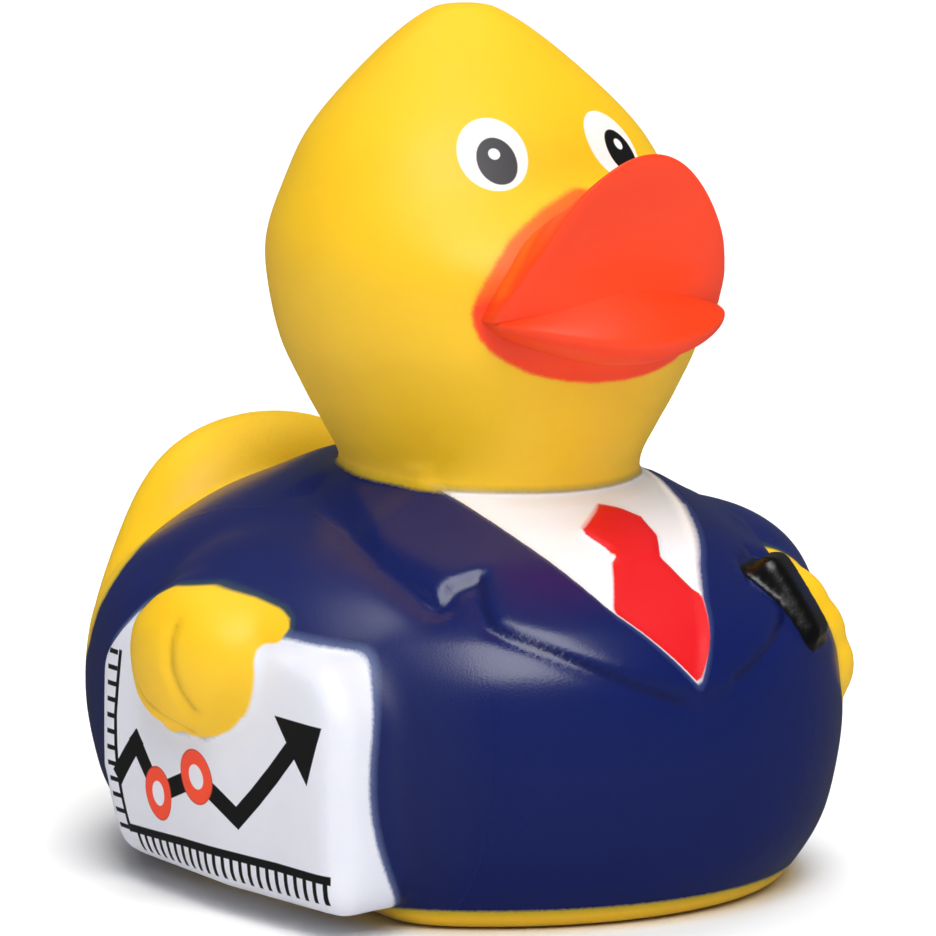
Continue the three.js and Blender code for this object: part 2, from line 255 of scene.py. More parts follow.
def tail_form():
    def slope(p):
        p[:, 0] *= 1 - 0.115 * np.sin(math.pi * np.clip((p[:, 2] - 22) / 20, 0, 1))
        p[:, 1] += TAIL_LEAN * (p[:, 2] - TAIL_CENTRE[2])
        return p

    return moved(ellipsoid(TAIL_CENTRE, TAIL_HALF), slope)


# Upper bill from the mouth's corner to its top: height, reach of the rim, reach of the middle
BILL_LINE = [
    (55.5, 17.2, 23.5), (57, 18.9, 23.6), (58, 19.6, 23.7), (60, 21.1, 23.1), (62, 22.25, 22.5),
    (64, 23.3, 22.5), (66, 24.0, 22.9), (68, 24.6, 23.6), (70, 25.2, 24.7), (72.7, 26.1, 26.1),
]
RIM_FOOT = 57
RIM_RISE = 15.7
RIM_HALF_WIDTH = 13.4


def upper_bill():
    """Solid wedge from the face out to a thin rim, its hollowed front face looking forward."""
    bm = bmesh.new()
    lying = Matrix.Rotation(math.pi / 2, 4, "X")
    bmesh.ops.create_uvsphere(bm, u_segments=192, v_segments=112, radius=1, matrix=lying)
    line = spline(BILL_LINE, 120)

    def shape(p):
        across, depth, up = p.T
        around = np.maximum(np.hypot(across, up), 1e-3)
        widen = around ** np.where(depth < 0, -0.7, -0.25)
        across, up = across * widen, up * widen
        rise = np.abs(up) ** 1.6
        z = RIM_FOOT + np.where(up > 0, RIM_RISE * rise, -3 * rise)
        inner = 1 - np.clip(across**2 / np.maximum(1 - up**2, 1e-3), 0, 1)
        rim, middle = np.interp(z, line[:, 0], line[:, 1]), np.interp(z, line[:, 0], line[:, 2])
        front = rim + (middle - rim) * inner
        back = 13 * np.maximum(depth, 0) ** 0.8
        waist = np.exp(-(((back - 4) / 2.6) ** 2))
        out = np.zeros_like(p)
        out[:, 0] = RIM_HALF_WIDTH * across * (1 - 0.045 * waist)
        out[:, 1] = back - front + 0.5 - 1.0 * np.maximum(-depth, 0) ** 0.8
        out[:, 2] = z - 0.04 * np.maximum(z - 60, 0) * back - 0.5 * waist * (up > 0) * up
        return out

    return moved(bm, shape)


def lower_bill():
    """Wedge of a lip with a blunt edge, under the mouth."""
    bm = bmesh.new()
    bmesh.ops.create_uvsphere(bm, u_segments=160, v_segments=80, radius=1)

    def shape(p):
        around = np.maximum(np.hypot(p[:, 0], p[:, 1]), 1e-3)
        across, forward = p[:, 0] * around**0.5, -p[:, 1] * around**0.5
        reach = np.maximum(forward, 0) ** 1.24
        middle = 56.8 - 1.8 * reach * (1 - 0.7 * across**2)
        below = p[:, 2] < 0
        thick = np.where(below, 4.6 * (1 - 0.25 * across**2), 6.4 * (1 - 0.6 * across**2))
        out = np.zeros_like(p)
        out[:, 0] = 13 * across
        out[:, 1] = -18.9 - np.where(forward > 0, 8.5 * reach, 8.5 * forward)
        out[:, 2] = middle + thick * np.sign(p[:, 2]) * np.abs(p[:, 2]) ** np.where(below, 0.95, 1.3)
        return out

    return moved(bm, shape)


def board_droop(along):
    """How much lower the top edge of the board lies, towards its front and at its rear corner."""
    front = 0.17 * np.maximum(along - 8, 0) + 2.8 * smoothstep(along, 15, 20.5) ** 2
    return front + 4.2 * smoothstep(-along, 11, 20.5) ** 2


def board_form():
    """Board against the right side, printed face outward, its rear lower corner tucked in."""

    def tuck(p):
        back = np.maximum(-p[:, 0] / (2 * BOARD_HALF[0]), 0)
        low = np.maximum(-p[:, 1] / (2 * BOARD_HALF[1]), 0)
        p[:, 2] -= np.where(p[:, 2] > 0, BOARD_TUCK * back * low**2, 0)
        p[:, 1] -= board_droop(p[:, 0]) * (p[:, 1] > 0)
        return p

    bm = moved(slab(BOARD_HALF, BOARD_EDGE, BOARD_SWELL), tuck)
    turn = (
        Matrix.Translation(BOARD_CENTRE)
        @ Matrix.Rotation(-math.pi / 2, 4, "Z")
        @ Matrix.Rotation(math.pi / 2, 4, "X")
    )
    bmesh.ops.transform(bm, matrix=turn, verts=bm.verts)
    return bm


# Telephone against the left side of the chest: how far from the neck line, in which bearing and how high
PHONE_REACH = 29.8
PHONE_BEARING = math.radians(33.5)
PHONE_LEVEL = 28.2
PHONE_PLACE = (
    Matrix.Translation((
        PHONE_REACH * math.sin(PHONE_BEARING), -PHONE_REACH * math.cos(PHONE_BEARING), PHONE_LEVEL,
    ))
    @ Matrix.Rotation(math.radians(38), 4, "Z")
    @ Matrix.Rotation(math.radians(58), 4, "X")
    @ Matrix.Rotation(math.pi / 2, 4, "Z")
)


def phone_form():
    bm = slab(PHONE_HALF, PHONE_EDGE, swell=0.4)
    bmesh.ops.transform(bm, matrix=PHONE_PLACE, verts=bm.verts)
    return bm


def blended_skin():
    """All forms run together by a voxel remesh, as the one cavity of the mould gives them."""
    forms = [
        body_form(),
        head_form(),
        tail_form(),
        ellipsoid(ROOT_CENTRE, ROOT_HALF),
        ellipsoid(JAW_CENTRE, JAW_HALF),
        *[ellipsoid(*lump) for lump in [RIGHT_ARM, LEFT_ARM] + RIGHT_HAND + LEFT_HAND],
        board_form(),
        phone_form(),
    ]
    mesh = joined(forms, "forms")
    rough = bpy.data.objects.new("forms", mesh)
    bpy.context.scene.collection.objects.link(rough)
    remesh = rough.modifiers.new("run_together", "REMESH")
    remesh.mode = "VOXEL"
    remesh.voxel_size = SKIN_STEP
    graph = bpy.context.evaluated_depsgraph_get()
    skin = bpy.data.meshes.new_from_object(rough.evaluated_get(graph))
    bpy.data.objects.remove(rough)
    bpy.data.meshes.remove(mesh)
    return skin


# Measures on the skin

def ellipsoid_gap(p, centre, half, turn=0.0):
    """Distance outside an ellipsoid, near its surface."""
    half = np.array(half, float)
    c, s = math.cos(turn), math.sin(turn)
    q = p - np.array(centre, float)
    q = np.stack([c * q[:, 0] + s * q[:, 1], c * q[:, 1] - s * q[:, 0], q[:, 2]], 1)
    k0 = np.linalg.norm(q / half, axis=1)
    k1 = np.linalg.norm(q / half**2, axis=1)
    return k0 * (k0 - 1) / np.maximum(k1, 1e-9)


def box_gap(q, half, edge):
    """Distance outside a rounded box, in the box's own axes."""
    d = np.abs(q) - (np.array(half, float) - edge)
    return np.linalg.norm(np.maximum(d, 0), axis=1) + np.minimum(d.max(1), 0) - edge


def outline_gap(u, v, outline):
    """Distance outside a closed outline in a plane, and below zero inside it."""
    p = np.stack([u, v], 1)
    a = np.array(outline, float)
    b = np.roll(a, -1, 0)
    gap = np.full(len(p), 1e9)
    inside = np.zeros(len(p), bool)
    for start, end in zip(a, b):
        edge = end - start
        t = np.clip((p - start) @ edge / (edge @ edge), 0, 1)
        gap = np.minimum(gap, np.linalg.norm(p - start - t[:, None] * edge, axis=1))
        crosses = (start[1] > p[:, 1]) != (end[1] > p[:, 1])
        rise = edge[1] if edge[1] else 1e-12
        inside ^= crosses & (p[:, 0] < start[0] + (p[:, 1] - start[1]) * edge[0] / rise)
    return np.where(inside, -gap, gap)


def line_gap(p, points):
    """Distance from an open line of points in space."""
    a = np.array(points, float)
    gap = np.full(len(p), 1e9)
    for start, end in zip(a, a[1:]):
        edge = end - start
        t = np.clip((p - start) @ edge / (edge @ edge), 0, 1)
        gap = np.minimum(gap, np.linalg.norm(p - start - t[:, None] * edge, axis=1))
    return gap


def hollow(gap, depth, half_width):
    return -depth * np.exp(-((gap / half_width) ** 2))


# Heights of the collar at the neck line and of the bare border at the base
COLLAR_HEIGHT = 40.3
BASE_BORDER = 2.2
# The paint of the chest and of the face's border lies forward of these
CHEST_BACK = -6
FACE_BACK = -11
# Outlines of the shirt, the tie and the lapels, seen from the front as x and z
SHIRT = [
    (-13.0, 41.5), (-12.6, 40.3), (-11.4, 38.7), (-10.4, 37.0), (-8.9, 34.3), (-6.5, 29.9), (-5.1, 28.4),
    (-0.6, 23.3), (1.4, 27.0), (4.0, 30.8), (6.6, 33.2), (10.0, 35.4), (12.6, 37.2), (13.9, 39.0),
    (14.2, 41.5),
]
KNOT = [
    (-3.4, 36.5), (0.9, 38.4), (2.9, 37.9), (4.7, 37.0), (4.7, 35.5), (2.8, 34.0), (-2.5, 34.2),
    (-2.1, 34.7),
]
BLADE = [(-2.5, 34.3), (-6.4, 30.0), (-0.6, 23.5), (4.0, 30.8), (2.8, 34.1)]
LAPELS = [
    [(-0.7, 21.1), (-8.7, 24.5), (-13.1, 26.7), (-16.7, 28.5), (-17.7, 29.3), (-17.1, 31.1),
     (-15.7, 33.0), (-18.2, 32.3), (-20.1, 31.0), (-21.6, 34.5), (-18.6, 38.4), (-14.8, 42),
     (-13.0, 42), (-12.6, 40.3), (-11.4, 38.7), (-10.4, 37.0), (-8.9, 34.3), (-6.5, 29.9),
     (-0.7, 23.4)],
    [(-0.7, 21.1), (4.3, 23.6), (9.8, 26), (16.2, 28.8), (17.1, 29.5), (16.5, 31.2), (15.2, 33.0),
     (17.6, 32.3), (19.5, 31), (21, 34.5), (18, 38.4), (16.5, 42), (14.6, 42), (13.9, 39.0),
     (12.6, 37.2), (10.0, 35.4), (6.6, 33.2), (4.0, 30.8), (1.4, 27.0), (-0.7, 23.4)],
]
# Lines on the chest and the right sleeve, as points in space
LAPEL_EDGES = [
    [(-20.1, -19.9, 31.0), (-18.2, -19.4, 32.3), (-15.7, -20.2, 33.0), (-17.1, -22.4, 31.1),
     (-17.7, -24.6, 29.3), (-16.7, -26.3, 28.5), (-13.1, -29.8, 26.7), (-8.7, -32.5, 24.5),
     (-2.4, -34.1, 21.8)],
    [(15.2, -27.3, 28.4), (9.8, -31.6, 26), (4.3, -33.5, 23.6)],
]
COLLAR_WING = [(-4.3, -22.3, 37.0), (-7.3, -25.8, 33.0)]
SLEEVE_FOLD = [
    (-17.0, 6.5, 39), (-18.5, 1.9, 38.2), (-20.8, -5.8, 36.4), (-21.7, -12.1, 34.4),
    (-21.1, -19.3, 31.5),
]
# Grooves between the fingers of the right hand, seen from the side as y and z
FINGERS = [
    [(-2.1, 28.4), (-2.2, 26.1), (-2.5, 24.0), (-3.1, 22.2), (-3.6, 20.6)],
    [(5.4, 21.8), (4.6, 20.2), (2.2, 18.5), (0.4, 17.7)],
]
# Hem of the right sleeve over the hand, seen from the side as y and z
HEM = [
    (9.5, 20), (7.5, 25), (5.8, 28.3), (3.8, 30.4), (1.7, 31.5), (-2.6, 32.0), (-6.9, 31.2),
    (-9.8, 30.4), (-11.0, 29.6), (-11.4, 28.7), (-11.0, 27.6), (-9.3, 26.5), (-9.3, 20),
]
# The same, and on down past the whole hand
HEM_WIDE = HEM[:-2] + [(-10.6, 14), (9.5, 14)]


def mirrored(half_outline):
    """Closed outline from its left half, listed from top to bottom."""
    return half_outline + [(-x, z) for x, z in reversed(half_outline)]


# Orange border on the face, seen from the front
FACE = mirrored([
    (-0.5, 68.2), (-2.7, 67.5), (-5, 66.7), (-7.2, 65.5), (-9.4, 64.1), (-11.2, 62.3), (-12.5, 60.4),
    (-13.1, 59.1), (-13.4, 57.7), (-13.2, 56.5), (-12.7, 55.3), (-11.8, 54.1), (-10.5, 53.1),
    (-8.6, 52.1), (-6.6, 51.5), (-4.5, 51.1), (-1.8, 50.8),
])
# Yellow border around the root of the tail, seen from behind
TAIL_ROOT = mirrored([
    (-9, 33.2), (-13.5, 33.1), (-17, 32.4), (-20.1, 31.0), (-22.7, 29.8), (-24.7, 28.2), (-26.2, 26.2),
    (-27.0, 23.7), (-27.0, 21.3), (-25.8, 19.6), (-23.3, 18.3), (-18, 17.3), (-9, 16.7),
])
HEAD_LINE = spline(HEAD_PROFILE, 200)


def head_gap(p):
    """Distance outside the bare head."""
    x, y, z = p.T
    y = y - crown_lean(z)
    y = y / brow_depth(y, z)
    return np.hypot(x, y) - np.interp(z, HEAD_LINE[:, 1], HEAD_LINE[:, 0])


def hand_gap(p, hand):
    return np.min([ellipsoid_gap(p, *finger) for finger in hand], 0)


def board_gap(p):
    x, y, z = (p - BOARD_CENTRE).T
    z = z + board_droop(-y) * (z > 0)
    return box_gap(np.stack([-y, z, -x], 1), BOARD_HALF + (0, 0, BOARD_SWELL), BOARD_EDGE)


def phone_gap(p):
    spot = np.array(PHONE_PLACE.inverted())
    return box_gap(p @ spot[:3, :3].T + spot[:3, 3], PHONE_HALF, PHONE_EDGE)


def tail_gap(p):
    lean = np.outer(p[:, 2] - TAIL_CENTRE[2], (0, TAIL_LEAN, 0))
    return ellipsoid_gap(p - lean, TAIL_CENTRE, TAIL_HALF)


def measures(p):
    """Signed distances in millimetres from the edges of the painted areas."""
    x, y, z = p.T
    chest = y - CHEST_BACK
    collar = z - (COLLAR_HEIGHT + NECK_TILT * y)
    board = board_gap(p)
    phone = phone_gap(p)
    side = x + 29.5 - 0.016 * (z - 15) ** 2 - 0.01 * np.maximum(15 - z, 0) ** 2
    tail = np.minimum(tail_gap(p) - 0.7, np.maximum(outline_gap(x, z, TAIL_ROOT), 18 - y))
    proud = np.max([0.85 - head_gap(p), y - FACE_BACK, 50.4 - z, z - 76], 0)
    mitten = np.maximum(hand_gap(p, RIGHT_HAND) - 0.4, 0.2 - board)
    cuff = np.maximum(outline_gap(y, z, HEM), 0.1 - board)
    right = np.max([np.minimum(mitten, cuff), x + 27, outline_gap(y, z, HEM_WIDE)], 0)
    bill = np.minimum(np.maximum(outline_gap(x, z, FACE), y - FACE_BACK), proud) - 0.25
    return {
        "jacket": np.max([collar, -tail, BASE_BORDER - z], 0),
        "shirt": np.max([outline_gap(x, z, SHIRT), collar, chest], 0),
        "tie": np.maximum(np.minimum(outline_gap(x, z, KNOT), outline_gap(x, z, BLADE)), chest),
        "board": np.maximum(board - 0.6, side),
        "hands": np.minimum(right, hand_gap(p, LEFT_HAND) - 0.5),
        "phone": phone - 0.45,
        # Distance from the lapels' edges and the finger grooves, where painted shade darkens them
        "groove_shade": np.min([line_gap(p, edge) for edge in LAPEL_EDGES] + [finger_gap(p) + 0.15], 0),
        "bill": bill,
        "bill_red": bill + 1.3 - 3 * smoothstep(-z, -60, -57),
    }


def finger_gap(p):
    """Distance from the grooves between the fingers, on the outward face of the right hand."""
    flat = p * (0, 1, 1)
    gap = np.min([line_gap(flat, [(0, *point) for point in line]) for line in FINGERS], 0)
    return gap + np.maximum(p[:, 0] + 34, 0)


def relief(p):
    """Height in millimetres of the fine moulded detail, along the normal."""
    x, y, z = p.T
    chest = smoothstep(-y, 4, 8) * smoothstep(44 - z, 0, 2)
    shirt = outline_gap(x, z, SHIRT)
    knot = outline_gap(x, z, KNOT)
    blade = outline_gap(x, z, BLADE)
    height = np.zeros(len(p))
    below_neck = smoothstep(COLLAR_HEIGHT - 0.25 + NECK_TILT * y - z, 0.2, 1.4)
    for outline in LAPELS:
        gap = outline_gap(x, z, outline)
        height += 0.5 * chest * smoothstep(-gap, -0.6, 0.6) * smoothstep(z, 20, 24)
    height += -0.25 * chest * smoothstep(-shirt, -0.45, 0.45) * below_neck
    height += 0.35 * chest * smoothstep(-blade, -0.45, 0.45)
    height += 0.6 * chest * smoothstep(-knot, -0.45, 0.5) * below_neck
    height += hollow(line_gap(p, COLLAR_WING), 0.2, 0.5)
    for edge in LAPEL_EDGES:
        height += hollow(line_gap(p, edge), 0.3, 0.95)
    height += hollow(line_gap(p, spline(SLEEVE_FOLD, 12)), 0.7, 1.8)
    height += hollow(finger_gap(p), 0.5, 0.75)
    return height * smoothstep(phone_gap(p), 0.5, 1.2)


def drawn_together(co, edges, share):
    """Moves each vertex a share of the way to the middle of its neighbours."""
    a, b = edges.T
    count = np.bincount(edges.ravel(), minlength=len(co))
    middle = np.empty_like(co)
    for k in range(3):
        middle[:, k] = (np.bincount(a, co[b, k], len(co)) + np.bincount(b, co[a, k], len(co))) / count
    return co + share * (middle - co)


def smoothed(co, edges, rounds):
    """Evens the skin out, with a push back after each pull so that it doesn't shrink."""
    for _ in range(rounds):
        co = drawn_together(co, edges, 0.5)
        co = drawn_together(co, edges, -0.52)
    return co


def filleted(co, edges, rounds, weight):
    """Softens the corners between forms, as far as the weight of each vertex says."""
    for _ in range(rounds):
        co = drawn_together(co, edges, 0.5 * weight)
    return co


def coordinates(mesh):
    co = np.empty(3 * len(mesh.vertices))
    mesh.vertices.foreach_get("co", co)
    return co.reshape(-1, 3)


def set_coordinates(mesh, co):
    mesh.vertices.foreach_set("co", co.ravel())
    mesh.update()


def keep_measures(mesh, co):
    """Stores the measures as attributes, which the paint reads."""
    for name, gap in measures(co).items():
        attribute = mesh.attributes.new(name, "FLOAT", "POINT")
        attribute.data.foreach_set("value", gap.astype(np.float32))


def finished(mesh, co):
    """Object of a mesh, set from millimetres beside the neck line to its place in the frame."""
    set_coordinates(mesh, co * MM + np.array((AXIS.x, AXIS.y, 0)))
    mesh.shade_smooth()
    piece = bpy.data.objects.new(mesh.name, mesh)
    bpy.context.scene.collection.objects.link(piece)
    return piece


def normals(mesh):
    n = np.empty(3 * len(mesh.vertices))
    mesh.vertex_normals.foreach_get("vector", n)
    return n.reshape(-1, 3)


def soft_areas(p):
    """Where the forms run into each other softly, as weights, and how far."""
    x, y, z = p.T

    def near(gap, reach):
        return np.exp(-((gap / reach) ** 2))

    right_arm = ellipsoid_gap(p, *RIGHT_ARM)
    left_arm = ellipsoid_gap(p, *LEFT_ARM)
    shoulder = smoothstep(z, 27.6, 30) * smoothstep(41 - z, 0, 3)
    return [
        (near(right_arm, 5) * shoulder * (x < -8), 90),
        (near(left_arm, 4) * shoulder * (x > 8) * smoothstep(y, -20, -14), 60),
        (near(outline_gap(x, z, FACE), 1.6) * (y < -10) * (y > -21), 16),
        (near(hand_gap(p, RIGHT_HAND), 1.5) * (x < -30), 6),
        (near(x + 27.5, 2.2) * (y < -17) * (z < 27), 40),
    ]


# Skin, evened out, with the fine detail and the well in its base that shows the squeaker
skin_mesh = blended_skin()
skin_mesh.name = "duck_skin"
edges = np.empty(2 * len(skin_mesh.edges), np.int64)
skin_mesh.edges.foreach_get("vertices", edges)
edges = edges.reshape(-1, 2)
co = coordinates(skin_mesh)
co = smoothed(co, edges, rounds=5)
for weight, rounds in soft_areas(co):
    co = filleted(co, edges, rounds, weight[:, None])
set_coordinates(skin_mesh, co)
co = co + normals(skin_mesh) * relief(co)[:, None]
co[:, 2] = np.maximum(co[:, 2], 0)
keep_measures(skin_mesh, co)
well = smoothstep(SEAT_RADIUS - np.hypot(co[:, 0], co[:, 1]), -0.15, 0.25) * (co[:, 2] < 1)
co[:, 2] = np.maximum(co[:, 2], SEAT_DEPTH * well)
skin = finished(skin_mesh, co)

# The bill's rim is thinner than the steps of the skin, so the bill is a finer mesh sunk into the face
bill_mesh = joined([upper_bill(), lower_bill()], "duck_bill")
co = coordinates(bill_mesh)
keep_measures(bill_mesh, co)
bill = finished(bill_mesh, co)


# Materials

# Colours in sRGB: the bare vinyl, the paints, with painted shade for the grooves and painted sheen for
# one pupil, the squeaker and the floor
VINYL_YELLOW = "#F5C61A"
VINYL_YELLOW_DARK = "#F0BC14"
NAVY_FRINGE = "#5F7A10"
NAVY = "#0A1958"
SHIRT_FRINGE = "#7F93C8"
SHIRT_WHITE = "#F3F5FA"
TIE_RED = "#E00814"
HAND_FRINGE = "#4C6A16"
BOARD_FRINGE = "#9FB4E0"
BOARD_WHITE = "#E6E7F0"
BOARD_WHITE_DARK = "#DADCE8"
PRINT_BLACK = "#101012"
RING_RED = "#FF4A22"
RING_RED_DARK = "#C93A22"
RING_MIDDLE = "#E6E6F0"
PHONE_BLACK = "#020203"
BILL_FRINGE = "#F08010"
BILL_ORANGE = "#F46A0C"
BILL_RED = "#F83E08"
EYE_WHITE = "#F6F1EA"
EYE_GLINT = "#F4F4F6"
# Painted sheen: the right pupil, lighter than the black ink it shares with the left one
PUPIL_SHEEN_GREY = "#3A3A3F"
PUPIL_BLACK = "#08080A"
# Painted shade, darkening the grooves along the lapels and between the fingers
GROOVE_PAINTED_SHADE = "#100A04"
SQUEAKER_WHITE = "#ECEAE2"
REED_WHITE = "#D8D4C6"
PAPER_WHITE = "#FCFCFC"


def linear(hex_colour):
    """Linear colour from an sRGB hex value."""
    channels = [int(hex_colour[i:i + 2], 16) / 255 for i in (1, 3, 5)]
    return (*[c / 12.92 if c <= 0.04045 else ((c + 0.055) / 1.055) ** 2.4 for c in channels], 1)


def add(tree, kind, inputs=None, out=0, **settings):
    """Adds a node, links or sets its inputs, and gives the output socket asked for."""
    node = tree.nodes.new("ShaderNode" + kind)
    for name, value in settings.items():
        setattr(node, name, value)
    for key, value in (inputs or {}).items():
        if isinstance(value, bpy.types.NodeSocket):
            tree.links.new(value, node.inputs[key])
        else:
            node.inputs[key].default_value = value
    return node.outputs[out]


def new_material(name):
    material = bpy.data.materials.new(name)
    material.use_nodes = True
    tree = material.node_tree
    tree.nodes.clear()
    return material, tree


def here(x, y, z):
    """Point in the frame, in metres, from millimetres beside the neck line."""
    return (AXIS.x + x * MM, AXIS.y + y * MM, z * MM)


def extreme(tree, operation, values):
    """Smallest or largest of several values."""
    total = values[0]
    for value in values[1:]:
        total = add(tree, "Math", {0: total, 1: value}, operation=operation)
    return total


def cover(tree, gap, soft, ragged=None, wider=0.0):
    """1 inside a painted area, made wider or not, and 0 beyond its soft and slightly ragged edge."""
    if ragged is not None:
        gap = add(tree, "Math", {0: gap, 1: ragged}, operation="ADD")
    return add(tree, "MapRange", {0: gap, 1: wider + soft, 2: wider - soft, 3: 0.0, 4: 1.0})


def coat(tree, look, mask, colour, roughness=None, strength=1.0):
    """Lays a paint over what is there, as far as the mask and the strength say."""
    if strength < 1:
        mask = add(tree, "Math", {0: mask, 1: strength}, operation="MULTIPLY")
    look["colour"] = add(tree, "Mix", {0: mask, 6: look["colour"], 7: colour}, out=2, data_type="RGBA")
    if roughness is not None:
        levels = {0: mask, 2: look["roughness"], 3: roughness}
        look["roughness"] = add(tree, "Mix", levels, data_type="FLOAT")


def halfway(tree, spot, point, normal):
    """Distance beyond a straight line through a point of the printed face."""
    normal = Vector((*normal, 0)).normalized()
    along = add(tree, "VectorMath", {0: spot, 1: normal}, out=1, operation="DOT_PRODUCT")
    return add(tree, "Math", {0: along, 1: normal.dot(Vector((*point, 0)))}, operation="SUBTRACT")


def strip(tree, spot, start, end, half_width):
    """Distance outside a straight stroke with square ends."""
    start, end = Vector((*start, 0)), Vector((*end, 0))
    way = (end - start).normalized()
    side = Vector((-way.y, way.x, 0))
    away = add(tree, "VectorMath", {0: spot, 1: 0.5 * (start + end)}, operation="SUBTRACT")
    gaps = []
    for direction, half in ((way, 0.5 * (end - start).length), (side, half_width)):
        share = add(tree, "VectorMath", {0: away, 1: direction}, out=1, operation="DOT_PRODUCT")
        size = add(tree, "Math", {0: share}, operation="ABSOLUTE")
        gaps.append(add(tree, "Math", {0: size, 1: half}, operation="SUBTRACT"))
    return extreme(tree, "MAXIMUM", gaps)


def mitred(points, half_width):
    """Stretches of a broken line, made longer at its corners so that their outer edges meet."""
    points = [Vector(point) for point in points]
    ways = [(b - a).normalized() for a, b in zip(points, points[1:])]
    longer = [0.0]
    for before, after in zip(ways, ways[1:]):
        longer.append(half_width * min(max(math.tan(0.5 * before.angle(after)), 0.2), 1))
    longer.append(0.0)
    stretches = []
    for i, way in enumerate(ways):
        stretches.append((points[i] - way * longer[i], points[i + 1] + way * longer[i + 1]))
    return stretches


def between(tree, value, low, high):
    """Distance outside a range."""
    off = add(tree, "Math", {0: value, 1: 0.5 * (low + high)}, operation="SUBTRACT")
    size = add(tree, "Math", {0: off}, operation="ABSOLUTE")
    return add(tree, "Math", {0: size, 1: 0.5 * (high - low)}, operation="SUBTRACT")


def ticks(tree, value, first, pitch, half_width):
    """Distance outside evenly spaced ticks. The pitches added keep the remainder above zero."""
    above = add(tree, "Math", {0: value, 1: 20.5 * pitch - first}, operation="ADD")
    turn = add(tree, "Math", {0: above, 1: pitch}, operation="MODULO")
    return between(tree, turn, 0.5 * pitch - half_width, 0.5 * pitch + half_width)


# Chart on the board, in millimetres forward of the neck line and above the ground
TREND = [
    (-15.6, 10.8), (-11.5, 14.9), (-7.85, 10.4), (-0.75, 13.1), (5.9, 10.1), (9.0, 12.6), (11.8, 15.1),
    (15.0, 18.3),
]
TREND_HALF_WIDTH = 0.95
ARROW = [(11.9, 20.8), (18.95, 20.5), (17.0, 14.8)]
SIDE_LINE = [(-14.7, 23.4), (-15.45, 17), (-15.3, 11), (-14.9, 5.4)]
SIDE_HALF_WIDTH = 0.3
FOOT_LINE = [(-14.9, 5.85), (-4.5, 6.2), (12, 6.35), (19.9, 6.15)]
FOOT_HALF_WIDTH = 0.42
# Ticks along both lines: first one, pitch and half width, then how far they reach across and along
SIDE_TICKS = (5.8, 1.57, 0.24)
SIDE_TICKS_ACROSS = (-17.2, -15.2)
SIDE_TICKS_ALONG = (5.4, 23.5)
FOOT_TICKS = (-13.3, 1.48, 0.29)
FOOT_TICKS_ACROSS = (3.75, 6)
FOOT_TICKS_ALONG = (-13.7, 19.9)
# Rings on the trend: place, radius, and how much they are squeezed sideways
RINGS = [((-7.85, 10.4), 2.68, 1.14), ((-0.75, 13.1), 2.72, 1.0)]
RING_HOLE = 1.22
RING_OUTLINE = 0.13
# The print lies on what is further out to the right than this
PRINT_DEPTH = 31.2
PRINT_SOFT = 0.05
INK_SOFT = 0.04


def chart(tree, look, place, board, ragged):
    """Line chart with two marked points, printed on the outward face of the board."""
    axes = add(tree, "SeparateXYZ", {0: place}, out=slice(0, 3))
    forward = add(tree, "Math", {0: axes[1], 1: -1 / MM, 2: AXIS.y / MM}, operation="MULTIPLY_ADD")
    height = add(tree, "Math", {0: axes[2], 1: 1 / MM}, operation="MULTIPLY")
    spot = add(tree, "CombineXYZ", {0: forward, 1: height})
    edge = AXIS.x - PRINT_DEPTH * MM
    face = add(tree, "MapRange", {0: axes[0], 1: edge + 0.1 * MM, 2: edge - 0.1 * MM})
    board = add(tree, "Math", {0: board, 1: face}, operation="MULTIPLY")
    strokes = []
    for line, half_width in (
        (TREND, TREND_HALF_WIDTH), (SIDE_LINE, SIDE_HALF_WIDTH), (FOOT_LINE, FOOT_HALF_WIDTH),
    ):
        strokes += [strip(tree, spot, a, b, half_width) for a, b in mitred(line, half_width)]
    middle = sum((Vector(corner) for corner in ARROW), Vector((0, 0))) / 3
    sides = []
    for a, b in zip(ARROW, ARROW[1:] + ARROW[:1]):
        a, b = Vector(a), Vector(b)
        out = Vector(((b - a).y, (a - b).x))
        sides.append(halfway(tree, spot, a, out if out.dot(a - middle) > 0 else -out))
    strokes.append(extreme(tree, "MAXIMUM", sides))
    strokes.append(extreme(tree, "MAXIMUM", [
        ticks(tree, height, *SIDE_TICKS),
        between(tree, forward, *SIDE_TICKS_ACROSS),
        between(tree, height, *SIDE_TICKS_ALONG),
    ]))
    strokes.append(extreme(tree, "MAXIMUM", [
        ticks(tree, forward, *FOOT_TICKS),
        between(tree, height, *FOOT_TICKS_ACROSS),
        between(tree, forward, *FOOT_TICKS_ALONG),
    ]))
    ink = cover(tree, extreme(tree, "MINIMUM", strokes), INK_SOFT, ragged)
    coat(tree, look, add(tree, "Math", {0: ink, 1: board}, operation="MULTIPLY"), linear(PRINT_BLACK))
    for centre, radius, squeeze in RINGS:
        away = add(tree, "VectorMath", {0: spot, 1: (*centre, 0)}, operation="SUBTRACT")
        away = add(tree, "VectorMath", {0: away, 1: (squeeze, 1, 0)}, operation="MULTIPLY")
        away = add(tree, "VectorMath", {0: away}, out=1, operation="LENGTH")
        for size, colour in (
            (radius, RING_RED_DARK), (radius - RING_OUTLINE, RING_RED), (RING_HOLE, RING_MIDDLE),
        ):
            spread = cover(tree, away, PRINT_SOFT, ragged, wider=size)
            printed = add(tree, "Math", {0: spread, 1: board}, operation="MULTIPLY")
            coat(tree, look, printed, linear(colour))


